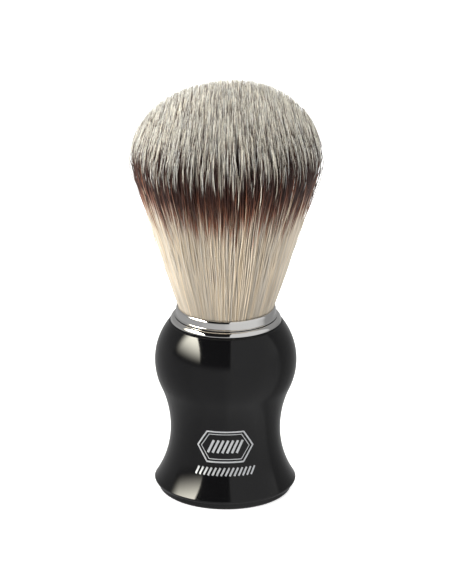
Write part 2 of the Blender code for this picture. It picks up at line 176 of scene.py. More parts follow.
class StageSettings(bpy.types.PropertyGroup):
    elevation: FloatProperty(name="Elevation", description="Camera's height as an angle",
                             default=math.radians(20.2), unit="ROTATION", subtype="ANGLE")
    distance: distance("Distance", "From the camera to the brush", 1200)
    roll: FloatProperty(name="Roll", description="Camera's turn about its line of sight",
                        default=math.radians(0.28), unit="ROTATION", subtype="ANGLE")
    aim_height: distance("Aim Height", "Height that the camera looks at", 57.1)
    floor: colour("Floor", "Colour of the floor", "#E8E8E8")


SETTINGS = {
    "brush_handle": HandleSettings,
    "brush_collar": CollarSettings,
    "brush_print": PrintSettings,
    "brush_knot": KnotSettings,
    "brush_stage": StageSettings,
}


# Helpers -------------------------------------------------------------------------------

def join(node, links):
    """Gives a node's inputs, in order or by name, a value, a socket or another node."""
    for key, source in links.items() if isinstance(links, dict) else enumerate(links):
        if isinstance(source, bpy.types.Node):
            source = next(socket for socket in source.outputs if socket.enabled)
        if isinstance(source, bpy.types.NodeSocket):
            node.id_data.links.new(source, node.inputs[key])
        else:
            node.inputs[key].default_value = source


def add_node(tree, kind, links=(), operation=None, **settings):
    """Adds a node with its settings and links, and its operation where it has one."""
    node = tree.nodes.new(kind)
    if operation:
        node.operation = operation
    for key, value in settings.items():
        setattr(node, key, value)
    join(node, links)
    return node


def fill_ramp(ramp, stops):
    """Sets a colour ramp's stops, each a place from 0 to 1 and a linear colour."""
    elements = ramp.color_ramp.elements
    while len(elements) < len(stops):
        elements.new(1.0)
    for element, (share, tone) in zip(elements, stops):
        element.position = share
        element.color = (*tone, 1)


def new_material(name, colour_value, roughness, **sockets):
    """A Principled material, and what adds a node to it, and its shader."""
    finish = bpy.data.materials.new(name)
    finish.use_nodes = True
    shader = finish.node_tree.nodes["Principled BSDF"]
    shader.inputs["Base Color"].default_value = (*colour_value, 1)
    shader.inputs["Roughness"].default_value = roughness
    for key, value in sockets.items():
        shader.inputs[key.replace("_", " ")].default_value = value
    return finish, partial(add_node, finish.node_tree), shader


def arc(centre, radius, start, end, steps):
    """Points (r, z) along an arc, angles in radians from +r towards +z."""
    angles = [start + (end - start) * i / steps for i in range(steps + 1)]
    return [(centre[0] + radius * math.cos(a), centre[1] + radius * math.sin(a)) for a in angles]


def new_object(name, mesh):
    obj = bpy.data.objects.new(name, mesh)
    bpy.context.scene.collection.objects.link(obj)
    return obj


def new_tree(name, inputs):
    """A geometry node tree, what adds a node to it, and its named inputs' sockets."""
    tree = bpy.data.node_groups.new(name, "GeometryNodeTree")
    for kind, labels in inputs.items():
        for label in labels:
            tree.interface.new_socket(label, in_out="INPUT", socket_type="NodeSocket" + kind)
    tree.interface.new_socket("Piece", in_out="OUTPUT", socket_type="NodeSocketGeometry")
    add = partial(add_node, tree)
    return tree, add, add("NodeGroupInput").outputs


def end_tree(add, shape, given):
    """Ends a tree in real geometry with its material."""
    shape = add("GeometryNodeRealizeInstances", [shape])
    shape = add("GeometryNodeSetMaterial", {0: shape, "Material": given["Material"]})
    add("NodeGroupOutput", [shape])


def run_tree(obj, tree, **inputs):
    """Runs a node tree on an object and keeps the result as its plain mesh."""
    modifier = obj.modifiers.new("shape", "NODES")
    modifier.node_group = tree
    names = {item.name: item.identifier for item in tree.interface.items_tree}
    for key, value in inputs.items():
        modifier[names[key.replace("_", " ").title()]] = value
    obj.update_tag()
    graph = bpy.context.evaluated_depsgraph_get()
    result = bpy.data.meshes.new_from_object(obj.evaluated_get(graph))
    obj.modifiers.remove(modifier)
    obj.data = result
    result.name = obj.name
    return obj


def smooth(mesh, degrees=35):
    mesh.shade_smooth()
    mesh.set_sharp_from_angle(angle=math.radians(degrees))


def face_outwards(mesh):
    bm = bmesh.new()
    bm.from_mesh(mesh)
    bmesh.ops.recalc_face_normals(bm, faces=bm.faces)
    bm.to_mesh(mesh)
    bm.free()


# Turned pieces -------------------------------------------------------------------------

def turning_tree():
    """Turns an outline in the XZ plane, given as a line of vertices, round Z."""
    tree = bpy.data.node_groups.get("Turned Piece")
    if tree is not None:
        return tree
    tree, add, given = new_tree("Turned Piece", {"Geometry": ("Outline",), "Int": ("Steps",),
                                                 "Material": ("Material",)})
    count = add("GeometryNodeAttributeDomainSize", [given["Outline"]])
    rows = add(MATH, [given["Steps"], 1], "ADD")
    grid = add("GeometryNodeMeshGrid",
               {"Size X": 1, "Size Y": 1, "Vertices X": count, "Vertices Y": rows})
    here = add(SPLIT, [add("GeometryNodeInputPosition")])
    last = add(MATH, [count, 1], "SUBTRACT")
    along = add(MATH, [here.outputs["X"], 0.5], "ADD")
    column = add(MATH, [along, last], "MULTIPLY")
    column = add(MATH, [column], "ROUND")
    turn = add(MATH, [here.outputs["Y"], 0.5], "ADD")
    turn = add(MATH, [turn, math.tau], "MULTIPLY")
    corner = add("GeometryNodeInputPosition")
    point = add("GeometryNodeSampleIndex", {0: given["Outline"], 1: corner, "Index": column},
                data_type="FLOAT_VECTOR")
    placed = add("ShaderNodeVectorRotate", {"Vector": point, "Angle": turn},
                 rotation_type="Z_AXIS")
    shape = add("GeometryNodeSetPosition", {0: grid, "Position": placed})
    shape = add("GeometryNodeMergeByDistance", {0: shape, "Distance": 0.001 * MM})
    end_tree(add, shape, given)
    return tree


def turned(name, outline, finish, steps=192):
    """A closed turned piece; an outline that leaves the axis is closed to its start."""
    if outline[0][0] > 0:
        outline = outline + outline[:1]
    mesh = bpy.data.meshes.new(name + "_outline")
    places = [(r, 0, z) for r, z in outline]
    mesh.from_pydata(places, [(i, i + 1) for i in range(len(places) - 1)], [])
    piece = run_tree(new_object(name, mesh), turning_tree(), steps=steps, material=finish)
    face_outwards(piece.data)
    smooth(piece.data)
    return piece


def handle_side(sizes, bottom):
    """The handle's outer line from the shoulder down to the foot's lower edge."""
    bulb = (sizes.bulb_radius - sizes.bulb_arc, sizes.bulb_height)
    step_in = sizes.bulb_radius - sizes.waist_radius
    drop = sizes.bulb_height - sizes.waist_height
    upper_arc = (step_in ** 2 + drop ** 2) / (2 * step_in) - sizes.bulb_arc
    upper = (sizes.waist_radius + upper_arc, sizes.waist_height)
    tangent = math.atan2(upper[1] - bulb[1], upper[0] - bulb[0])
    top = math.acos((sizes.shoulder_radius - bulb[0]) / sizes.bulb_arc)
    points = arc(bulb, sizes.bulb_arc, top, tangent, 48)
    points += arc(upper, upper_arc, tangent + math.pi, math.pi, 16)[1:]
    foot_top = bottom + sizes.foot_rounding
    flare = sizes.foot_radius - sizes.waist_radius
    fall = sizes.waist_height - foot_top
    lower_arc = (flare ** 2 + fall ** 2) / (2 * flare)
    lower = (sizes.waist_radius + lower_arc, sizes.waist_height)
    points += arc(lower, lower_arc, math.pi, math.pi + math.asin(fall / lower_arc), 28)[1:]
    corner = (sizes.foot_radius - sizes.foot_rounding, foot_top)
    points += arc(corner, sizes.foot_rounding, 0, -math.pi / 2, 8)[1:]
    return points


def radius_at(line, height):
    """Radius of a falling outline at a height."""
    for (r1, z1), (r2, z2) in zip(line, line[1:]):
        if z1 >= height >= z2 and z1 > z2:
            return r1 + (r2 - r1) * (z1 - height) / (z1 - z2)
    raise ValueError(f"no point of the outline is {height} high")


# Materials -----------------------------------------------------------------------------

def gloss_black_abs(black):
    """Moulded, polished ABS: deep black with a clear reflection that faint flow waves bend."""
    finish, add, shader = new_material("gloss_black_abs", black, 0.1, IOR=1.54,
                                       Specular_IOR_Level=0.26)
    place = add("ShaderNodeTexCoord").outputs["Object"]
    # Handling marks show as slightly duller patches a few millimetres across.
    marks = add(NOISE, {"Vector": place, "Scale": 1 / (6 * MM), "Detail": 4})
    dull = add(RANGE, [marks, 0.35, 0.75, 0.07, 0.13])
    waves = add(NOISE, {"Vector": place, "Scale": 1 / (9 * MM), "Detail": 1})
    bump = add("ShaderNodeBump", {"Height": waves, "Strength": 0.25, "Distance": 0.02 * MM})
    join(shader, {"Roughness": dull, "Normal": bump})
    return finish


def patterned(name, tint, roughness, size, detail=2, squeeze=None, rough=None, shade=None,
              bump=None, **sockets):
    """A material with one pattern on it, whose grain has a real size.

    squeeze scales the pattern along Z. rough turns a range of the pattern into a range of
    roughness, and shade into the share of the tint that is kept. bump is its strength and
    its depth.
    """
    finish, add, shader = new_material(name, tint, roughness, **sockets)
    place = add("ShaderNodeTexCoord").outputs["Object"]
    if squeeze:
        place = add("ShaderNodeMapping", {0: place, "Scale": (1, 1, squeeze)})
    grain = add(NOISE, {"Vector": place, "Scale": 1 / size, "Detail": detail})
    if rough:
        join(shader, {"Roughness": add(RANGE, [grain, *rough])})
    if shade:
        kept = add(RANGE, [grain, *shade])
        tone = add(MIX, {"Factor": 1.0, 6: (*tint, 1), 7: kept}, data_type="RGBA",
                   blend_type="MULTIPLY")
        join(shader, {"Base Color": tone})
    if bump:
        relief = add("ShaderNodeBump", {"Height": grain, "Strength": bump[0], "Distance": bump[1]})
        join(shader, {"Normal": relief})
    return finish


def satin_black_abs(black):
    """Moulded ABS straight from a spark-eroded tool: a fine grain makes it a greyer black."""
    # The real grain is about 0.05 mm; drawn at 0.3 mm so that it shows.
    return patterned("satin_black_abs", black, 0.32, 0.3 * MM, rough=(0.3, 0.7, 0.26, 0.4),
                     bump=(0.3, 0.02 * MM), IOR=1.54, Specular_IOR_Level=0.3)


def chrome_plate(tint):
    """Bright chromium plate over polished brass: a hard mirror with a few faint wipe marks."""
    # Wipe marks run round the rings, so the pattern is drawn out along them.
    return patterned("chrome_plate", tint, 0.05, 2 * MM, detail=5, squeeze=6,
                     rough=(0.4, 0.8, 0.05, 0.09), Metallic=1)


def silver_ink(ink):
    """Pad-printed silver ink: fine metal flake in lacquer, thin and slightly mottled."""
    return patterned("silver_ink", ink, 0.38, 0.25 * MM, shade=(0.3, 0.7, 0.82, 1.0),
                     Metallic=0.55)


def packed_fibre(knot):
    """Fibre ends packed side by side deep in the knot: cream with fine upright lines."""
    # Lines 0.3 mm apart that run up the brush.
    return patterned("packed_fibre", knot.cream, 0.6, 0.3 * MM, squeeze=0.04,
                     shade=(0.3, 0.7, 0.35, 0.9), bump=(0.6, 0.1 * MM))


def cast_finish(name, text, roughness, mottling, size, **sockets):
    """A hidden cast, moulded or plated surface: one colour, mottled at a real size."""
    return patterned(name, linear(text), roughness, size, detail=3,
                     shade=(0.3, 0.7, 1 - mottling, 1.0), bump=(0.3, 0.05 * MM), **sockets)


def dyed_fibre(knot):
    """Drawn and dyed polyester fibre: cream, then a brown to black band, then silver tips; near
    the collar a painted shade darkens it.

    The colour map's columns are the fibres' own shades and its height is the distance
    from the tip, so every fibre is dyed along its length.
    """
    finish, add, shader = new_material("dyed_fibre", knot.cream, 0.42, IOR=1.5)
    place = add("ShaderNodeUVMap", uv_map="OFBake")
    place = add(SPLIT, [place])
    strip = add(MATH, [place.outputs["X"], STRIPS], "MULTIPLY")
    strip = add(MATH, [strip], "FLOOR")
    own = add("ShaderNodeTexWhiteNoise", {"W": strip}, noise_dimensions="1D")
    parts = add("ShaderNodeSeparateColor", [own.outputs["Color"]])
    length = add(MATH, [place.outputs["Y"], FIBRE_SPAN / MM], "MULTIPLY")
    # Dye doesn't reach the same height on every fibre, least of all at its upper edge.
    calm = add(RANGE, [length, 8, 20, 0, 1])
    most = add(RANGE, [calm, 0, 1, 14, 7])
    creep = add(MATH, [parts.outputs[0], 0.48], "SUBTRACT")
    creep = add(MATH, [creep, most], "MULTIPLY")
    dyed_at = add(MATH, [length, creep], "ADD")
    share = add(MATH, [dyed_at, DYE_SPAN], "DIVIDE")
    ramp = add("ShaderNodeValToRGB", [share])
    # Each stop is so many millimetres from the tip.
    stops = ((0.0, knot.tip), (1.2, knot.tip), (5.2, knot.dark), (13.4, knot.dark),
             (17.8, knot.brown), (22.9, knot.cream), (DYE_SPAN, knot.cream))
    fill_ramp(ramp, [(millimetres / DYE_SPAN, tone) for millimetres, tone in stops])
    # Each fibre is a little lighter or darker, and a little warmer or cooler.
    darkest = add(RANGE, [calm, 0, 1, 0.66, 0.78])
    light = add(RANGE, [parts.outputs[1], 0, 1, darkest, 1.12])
    # Painted shade: the fibres are drawn a little darker near the collar, where the collar and the
    # fibres round them shade them.
    painted_root_shade = add(RANGE, [length, 40, 50, 1.0, 0.84])
    light = add(MATH, [light, painted_root_shade], "MULTIPLY")
    warm = add(MIX, {"Factor": parts.outputs[2], 6: (0.93, 0.98, 1.05, 1), 7: (1.05, 1.0, 0.9, 1)},
               data_type="RGBA")
    tone = add(MIX, {"Factor": 1.0, 6: ramp, 7: light}, data_type="RGBA", blend_type="MULTIPLY")
    tone = add(MIX, {"Factor": 1.0, 6: tone.outputs[2], 7: warm.outputs[2]}, data_type="RGBA",
               blend_type="MULTIPLY")
    join(shader, {"Base Color": tone})
    return finish


# Fibres --------------------------------------------------------------------------------

FIBRE_INPUTS = {
    "Int": ("Count", "Seed", "Segments"),
    "Float": ("From Share", "To Share", "From Turn", "To Turn", "From Height", "To Height",
              "Stagger", "Lip Height", "Mouth Radius", "Dome Centre", "Dome Radius",
              "Dome Height", "Dome Under", "Fullness", "Slant", "Rim Radius", "Flare",
              "Flare Top", "Thickness", "Tip Thickness", "Taper", "Clump", "Uneven"),
    "Material": ("Material",),
}


def fibre_tree():
    """Grows the knot's fibres between two heights, inside a ring and a sector of it.

    Fibre i stands on a sunflower spiral, so the knot is evenly filled, and the same
    fibre comes out the same in every piece, whichever heights that piece covers.
    """
    tree = bpy.data.node_groups.get("Fibre Bundle")
    if tree is not None:
        return tree
    tree, add, given = new_tree("Fibre Bundle", FIBRE_INPUTS)

    # Where each fibre stands: its share of the knot's area, and its turn round the axis.
    index = add("GeometryNodeInputIndex")
    share = add(MATH, [index, 0.5], "ADD")
    share = add(MATH, [share, given["Count"]], "DIVIDE")
    turn = add(MATH, [index, GOLDEN_TURN], "MULTIPLY")
    turn = add(MATH, [turn], "FRACT")
    chance = add("FunctionNodeRandomValue",
                 {0: (0, 0, 0), 1: (1, 1, 1), "ID": index, "Seed": given["Seed"]},
                 data_type="FLOAT_VECTOR")
    second = add(MATH, [given["Seed"], 1], "ADD")
    again = add("FunctionNodeRandomValue",
                {0: (-1, -1, -1), 1: (1, 1, 1), "ID": index, "Seed": second},
                data_type="FLOAT_VECTOR")
    points = add("GeometryNodePoints", {"Count": given["Count"]})
    fields = []
    for name, value, kind in (("share", share, "FLOAT"), ("turn", turn, "FLOAT"),
                              ("chance", chance, "FLOAT_VECTOR"),
                              ("lean", again, "FLOAT_VECTOR")):
        points = add("GeometryNodeStoreNamedAttribute", {0: points, "Name": name, "Value": value},
                     data_type=kind, domain="POINT")
        fields.append(add("GeometryNodeInputNamedAttribute", [name], data_type=kind))
    share, turn, chance, lean = fields
    kept = None
    for value, low, high in ((share, "From Share", "To Share"), (turn, "From Turn", "To Turn")):
        above = add("FunctionNodeCompare", [value, given[low]], data_type="FLOAT",
                    operation="GREATER_EQUAL")
        below = add("FunctionNodeCompare", [value, given[high]], data_type="FLOAT",
                    operation="LESS_THAN")
        both = add("FunctionNodeBooleanMath", [above, below], "AND")
        kept = both if kept is None else add("FunctionNodeBooleanMath", [kept, both], "AND")
    drop = add("FunctionNodeBooleanMath", [kept], "NOT")
    chosen = add("GeometryNodeDeleteGeometry", {0: points, "Selection": drop}, domain="POINT")
    rod = add("GeometryNodeMeshCylinder",
              {"Vertices": 3, "Side Segments": given["Segments"], "Radius": 1, "Depth": 1})
    rods = add("GeometryNodeInstanceOnPoints", {0: chosen, "Instance": rod})
    rods = add("GeometryNodeRealizeInstances", [rods])

    # The tip of each fibre on the dome, drawn towards the middle of its small clump.
    ring = add(MATH, [share], "SQRT")
    ring = add(MATH, [ring, given["Rim Radius"]], "MULTIPLY")
    angle = add(MATH, [turn, math.tau], "MULTIPLY")
    out = add("ShaderNodeCombineXYZ", [ring])
    out = add("ShaderNodeVectorRotate", {"Vector": out, "Angle": angle}, rotation_type="Z_AXIS")
    flat_lean = add(VECTOR, [lean, (LEAN, LEAN, 0)], "MULTIPLY")
    tip = add(VECTOR, [out, flat_lean], "ADD")
    size = add(VECTOR, {0: tip, "Scale": 1 / MM}, "SCALE")
    per_clump = add(MATH, [MM, given["Clump"]], "DIVIDE")
    cell = add("ShaderNodeTexVoronoi", {"Vector": size, "Scale": per_clump},
               voronoi_dimensions="2D", feature="F1")
    middle = add(VECTOR, {0: cell.outputs["Position"], "Scale": MM}, "SCALE")
    pull = add(VECTOR, [middle, tip], "SUBTRACT")
    strength = add(RANGE, [share, 0.1, 0.9, 0.2, 0.72])
    pull = add(VECTOR, {0: pull, "Scale": strength}, "SCALE")
    pull = add(VECTOR, [pull, flat_lean], "ADD")
    end = add(VECTOR, [out, pull], "ADD")
    across = add(VECTOR, [end], "LENGTH")
    across = add(MATH, [across.outputs["Value"], given["Dome Radius"]], "DIVIDE")
    inverse = add(MATH, [1.0, given["Fullness"]], "DIVIDE")
    rise = add(MATH, [across, given["Fullness"]], "POWER")
    rise = add(MATH, [1.0, rise], "SUBTRACT", use_clamp=True)
    rise = add(MATH, [rise, inverse], "POWER")
    top = add(MATH, [rise, given["Dome Height"], given["Dome Centre"]], "MULTIPLY_ADD")
    sideways = add(SPLIT, [end])
    tilt = add(MATH, [sideways.outputs["X"], given["Slant"]], "MULTIPLY")
    tilt = add(MATH, [tilt, rise], "MULTIPLY")
    top = add(MATH, [tilt, rise, top], "MULTIPLY_ADD")
    draws = add(SPLIT, [chance])
    short = add(MATH, [draws.outputs["X"], 2.0], "POWER")
    short = add(MATH, [short, given["Uneven"]], "MULTIPLY")
    tip_height = add(MATH, [top, short], "SUBTRACT")

    # Height of each point of the rod, and how far along its whole fibre that is.
    local = add(SPLIT, [add("GeometryNodeInputPosition")])
    part = add(MATH, [local.outputs["Z"], 0.5], "ADD")
    # Fibres pass from one piece to the next at heights of their own, so no line shows.
    lean_parts = add(SPLIT, [lean])
    own = add(MATH, [lean_parts.outputs["Z"], given["Stagger"]], "MULTIPLY")
    begin = add(MATH, [given["From Height"], own], "ADD")
    stop = add(MATH, [given["To Height"], own], "ADD")
    stop = add(MATH, [stop, tip_height], "MINIMUM")
    height = add(RANGE, [part, 0.0, 1.0, begin, stop], clamp=False)
    free = add(RANGE, [height, given["Lip Height"], top, 0.0, 1.0], clamp=False)

    # The outermost fibre runs straight up the flare and then in over the dome's edge.
    rim = add(MATH, [given["Rim Radius"], given["Dome Radius"]], "DIVIDE")
    rim = add(MATH, [rim, rim], "MULTIPLY")
    rim = add(MATH, [1.0, rim], "SUBTRACT")
    rim = add(MATH, [rim], "SQRT")
    rim = add(MATH, [rim, given["Dome Height"], given["Dome Centre"]], "MULTIPLY_ADD")
    outer = add(RANGE, [free, 0.0, 1.0, given["Lip Height"], rim], clamp=False)
    above = add(MATH, [outer, given["Lip Height"]], "SUBTRACT")
    straight = add(MATH, [above, given["Flare"], given["Mouth Radius"]], "MULTIPLY_ADD")
    over = add(MATH, [outer, given["Dome Centre"]], "SUBTRACT")
    below = add("FunctionNodeCompare", [over, 0.0], data_type="FLOAT", operation="LESS_THAN")
    half = add("GeometryNodeSwitch",
               {"Switch": below, "False": given["Dome Height"], "True": given["Dome Under"]},
               input_type="FLOAT")
    over = add(MATH, [over, half], "DIVIDE")
    over = add(MATH, [over, over], "MULTIPLY")
    over = add(MATH, [1.0, over], "SUBTRACT", use_clamp=True)
    over = add(MATH, [over], "SQRT")
    curved = add(MATH, [over, given["Dome Radius"]], "MULTIPLY")
    past = add("FunctionNodeCompare", [outer, given["Flare Top"]], data_type="FLOAT",
               operation="GREATER_THAN")
    spread = add("GeometryNodeSwitch", {"Switch": past, "False": straight, "True": curved},
                 input_type="FLOAT")
    spread = add(MATH, [spread, given["Rim Radius"]], "DIVIDE")
    centre = add(VECTOR, {0: out, "Scale": spread}, "SCALE")
    grip = add(RANGE, [free, 0.6, 1.0, 0.0, 1.0], interpolation_type="SMOOTHSTEP")
    drawn = add(VECTOR, {0: pull, "Scale": grip}, "SCALE")
    centre = add(VECTOR, [centre, drawn], "ADD")
    # A slow bow to one side, none at the mouth, so that neighbours cross a little.
    phase = add(MATH, [draws.outputs["Y"], math.tau], "MULTIPLY")
    swing = add(MATH, [free, BOW_TURN, phase], "MULTIPLY_ADD")
    swing = add(MATH, [swing], "SINE")
    growth = add(MATH, [free], "SQRT")
    swing = add(MATH, [swing, growth], "MULTIPLY")
    bow = add(VECTOR, {0: flat_lean, "Scale": swing}, "SCALE")
    centre = add(VECTOR, [centre, bow], "ADD")

    # Thickness, drawn out to a fine point over the last stretch.
    to_tip = add(MATH, [tip_height, height], "SUBTRACT")
    thick = add(RANGE, [to_tip, 0.0, given["Taper"], given["Tip Thickness"], given["Thickness"]])
    half = add(MATH, [thick, 0.5], "MULTIPLY")
    profile = add("ShaderNodeCombineXYZ", [local.outputs["X"], local.outputs["Y"]])
    profile = add("ShaderNodeVectorRotate", {"Vector": profile, "Angle": angle},
                  rotation_type="Z_AXIS")
    profile = add(VECTOR, {0: profile, "Scale": half}, "SCALE")
    place = add(VECTOR, [centre, profile], "ADD")
    flat = add(SPLIT, [place])
    place = add("ShaderNodeCombineXYZ", [flat.outputs["X"], flat.outputs["Y"], height])

    # The colour map: one of the columns across, the distance from the tip upwards.
    strip = add(MATH, [draws.outputs["Z"], STRIPS], "MULTIPLY")
    strip = add(MATH, [strip], "FLOOR")
    side = add(RANGE, [local.outputs["Y"], -1.0, 1.0, STRIP_MARGIN, 1 - STRIP_MARGIN])
    column = add(MATH, [strip, side], "ADD")
    column = add(MATH, [column, STRIPS], "DIVIDE")
    row = add(MATH, [to_tip, FIBRE_SPAN], "DIVIDE", use_clamp=True)
    chart = add("ShaderNodeCombineXYZ", [column, row])
    shape = add("GeometryNodeStoreNamedAttribute", {0: rods, "Name": "OFBake", "Value": chart},
                data_type="FLOAT2", domain="CORNER")
    shape = add("GeometryNodeSetPosition", {0: shape, "Position": place})
    for name in ("share", "turn", "chance", "lean"):
        shape = add("GeometryNodeRemoveAttribute", {0: shape, "Name": name})
    # Flat sides shade alike on both sides of a seam, and are too narrow to be seen.
    shape = add("GeometryNodeSetShadeSmooth", {0: shape, "Shade Smooth": False})
    # Above the dyed band, where no seam lies, the tips are shaded round.
    now = add(SPLIT, [add("GeometryNodeInputPosition")])
    round_from = add(MATH, [given["Dome Centre"], ROUND_BELOW], "SUBTRACT")
    upper = add("FunctionNodeCompare", [now.outputs["Z"], round_from], data_type="FLOAT",
                operation="GREATER_THAN")
    tips = add("FunctionNodeBooleanMath", [upper, rod.outputs["Side"]], "AND")
    shape = add("GeometryNodeSetShadeSmooth", {0: shape, "Selection": tips})
    end_tree(add, shape, given)
    return tree


def flare_of(knot, mouth):
    """Slope and top of the straight flare that leaves the mouth and just meets the dome."""
    across = mouth / knot.dome_radius
    down = (LIP_HEIGHT - DOME_CENTRE) / knot.dome_under
    touch = math.atan2(down, across) + math.acos(1 / math.hypot(across, down))
    slope = -math.tan(touch) * knot.dome_radius / knot.dome_under
    return slope, DOME_CENTRE + knot.dome_under * math.sin(touch)


def mouth_of():
    """Radius at which the outermost fibres pass the lip."""
    return bpy.context.scene.brush_collar.mouth_radius - MOUTH_GAP


def grow_fibres(name, finish, share, turns, heights, segments):
    """One bundle of the knot's fibres as a plain mesh."""
    knot = bpy.context.scene.brush_knot
    mouth = mouth_of()
    flare, flare_top = flare_of(knot, mouth)
    piece = new_object(name, bpy.data.meshes.new(name))
    same = ("count", "seed", "dome_radius", "dome_height", "dome_under", "fullness", "slant",
            "rim_radius", "thickness", "tip_thickness", "taper", "clump", "uneven")
    run_tree(piece, fibre_tree(), segments=segments, from_share=share[0], to_share=share[1],
             from_turn=turns[0], to_turn=turns[1], from_height=heights[0],
             to_height=heights[1], stagger=STAGGER, lip_height=LIP_HEIGHT,
             mouth_radius=mouth, dome_centre=DOME_CENTRE, flare=flare, flare_top=flare_top,
             material=finish, **{name: getattr(knot, name) for name in same})
    if not piece.data.polygons:
        raise RuntimeError(f"no fibres grew for {name}")
    return piece


def knot_line(height):
    """Radius of the knot's straight flare at a height."""
    knot = bpy.context.scene.brush_knot
    mouth = mouth_of()
    return mouth + flare_of(knot, mouth)[0] * (height - LIP_HEIGHT)


# Operators -----------------------------------------------------------------------------

class BRUSH_OT_handle(bpy.types.Operator):
    """Builds the moulded handle"""
    bl_idname = "brush.handle"
    bl_label = "Handle"

    def execute(self, context):
        sizes = context.scene.brush_handle
        low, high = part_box("handle_shell")
        side = handle_side(sizes, low.z)
        edge = sizes.shoulder_rounding
        side[0] = (side[0][0], side[0][1] - edge)
        floor = high.z - SOCKET_DEPTH
        # From the socket's floor up its bore, over the shoulder, down the side and inside.
        outline = [(0, floor), (sizes.socket_radius, floor), (sizes.socket_radius, high.z),
                   (sizes.shoulder_radius - edge, high.z)]
        rim, hollow = 2 * MM, 4 * MM
        outline += side + [(sizes.cap_radius - rim, low.z), (0, low.z + hollow)]
        shell = turned("moulded_handle", outline, gloss_black_abs(sizes.black))
        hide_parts("handle_shell")
        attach(shell, "handle")
        return {"FINISHED"}


class BRUSH_OT_base_cap(bpy.types.Operator):
    """Builds the separate cap that closes the foot"""
    bl_idname = "brush.base_cap"
    bl_label = "Base Cap"

    def execute(self, context):
        sizes = context.scene.brush_handle
        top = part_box("handle_shell")[0].z - SEAM
        edge = sizes.cap_rounding
        outline = [(0, 0)]
        outline += arc((sizes.cap_radius - edge, edge), edge, -math.pi / 2, 0, 12)
        outline += [(sizes.cap_radius, top), (0, top)]
        cap = turned("foot_cap", outline, satin_black_abs(sizes.black))
        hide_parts("base_cap")
        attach(cap, "handle")
        return {"FINISHED"}


class BRUSH_OT_collar(bpy.types.Operator):
    """Builds the two chromed rings between the handle and the knot"""
    bl_idname = "brush.collar"
    bl_label = "Collar"

    def execute(self, context):
        sizes = context.scene.brush_collar
        chrome = chrome_plate(sizes.chrome)
        low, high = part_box("collar_flange")
        chamfer = 0.06 * MM
        skirt_wall = 0.6 * MM
        bore = sizes.skirt_bore + skirt_wall + 0.25 * MM
        bottom = low.z
        across = sizes.flange_radius - sizes.foot_radius
        step = 0.14 * MM
        top = high.z - step
        outline = [(bore, bottom), (sizes.flange_radius - chamfer, bottom),
                   (sizes.flange_radius, bottom + chamfer)]
        # The slope starts this many radians up a quarter circle, stretched to fit.
        lean = 0.25
        tall = top - bottom - sizes.flange_side
        for r, z in arc((0, 0), 1, lean, math.pi / 2, 14):
            rise = (z - math.sin(lean)) / (1 - math.sin(lean))
            outline.append((sizes.foot_radius + r / math.cos(lean) * across,
                            top - (1 - rise) * tall))
        flange = turned("flange_ring", outline + [(bore, top)], chrome)
        # The gap under the ferrule shows as a dark line between the two rings.
        shadow_gap = 0.2 * MM
        band_bottom = top + shadow_gap
        skirt_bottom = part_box("collar_ferrule")[0].z
        outer = sizes.skirt_bore + skirt_wall
        outline = [(sizes.skirt_bore, skirt_bottom), (outer, skirt_bottom),
                   (outer, band_bottom), (sizes.foot_radius, band_bottom)]
        steps = 10
        for i in range(steps + 1):
            rise = i / steps
            flare = (sizes.foot_radius - sizes.band_radius) * (1 - rise) ** 2
            outline.append((sizes.band_radius + flare,
                            band_bottom + sizes.foot_edge + rise * sizes.foot_slope))
        edge = sizes.lip_rounding
        outline += [(sizes.band_radius - edge * (1 - r), LIP_HEIGHT - sizes.lip_fall * (1 - z))
                    for r, z in arc((0, 0), 1, 0, math.pi / 2, 12)]
        outline += [(sizes.mouth_radius, LIP_HEIGHT - 0.04 * MM),
                    (sizes.mouth_radius, LIP_HEIGHT - 0.5 * MM),
                    (sizes.skirt_bore, band_bottom)]
        ferrule = turned("ferrule_ring", outline, chrome)
        for piece, node in ((flange, "collar_flange"), (ferrule, "collar_ferrule")):
            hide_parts(node)
            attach(piece, "handle")
        return {"FINISHED"}


class BRUSH_OT_print(bpy.types.Operator):
    """Prints a plain silver ornament on the front of the handle"""
    bl_idname = "brush.print"
    bl_label = "Print"

    def execute(self, context):
        sizes = context.scene.brush_print
        side = handle_side(context.scene.brush_handle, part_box("handle_shell")[0].z)
        bm = bmesh.new()
        for points, closed, width in ornament_strokes(sizes):
            print_stroke(bm, side, points, closed, width)
        mesh = bpy.data.meshes.new("silver_ornament")
        bm.to_mesh(mesh)
        bm.free()
        face_outwards(mesh)
        mesh.materials.append(silver_ink(sizes.ink))
        ornament = new_object("silver_ornament", mesh)
        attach(ornament, "handle")
        return {"FINISHED"}


def ornament_strokes(sizes):
    """Lines of the ornament as (points, closed, width), x across and y up, in metres."""
    width, line = sizes.width, sizes.line
    tall = sizes.high - sizes.low
    middle = sizes.low + tall * 0.65
    half, reach = width * 0.46, tall * 0.35
    strokes = []
    for size, thick in ((1.0, 1.25), (0.86, 0.6)):
        out, up = half * size, reach * (size - 0.04 * (size < 1))
        point = out - up * 0.62
        corners = ((-out, 0), (-point, up), (point, up), (out, 0), (point, -up), (-point, -up))
        strokes.append(([(x, middle + y) for x, y in corners], True, line * thick))
    # Slanting bars across the middle, like a barber's pole lying down.
    for i in range(-3, 4):
        x, rise = half * 0.17 * i, reach * 0.42
        strokes.append(([(x - rise * 0.45, middle - rise), (x + rise * 0.45, middle + rise)],
                        False, line * 1.9))
    # Below, a tape of small slanting marks.
    marks = 14
    base, rise = sizes.low + tall * 0.09, tall * 0.085
    for i in range(marks):
        x = width * ((i + 0.5) / marks - 0.5)
        strokes.append(([(x - rise * 0.5, base - rise), (x + rise * 0.5, base + rise)],
                        False, line * 1.5))
    return strokes


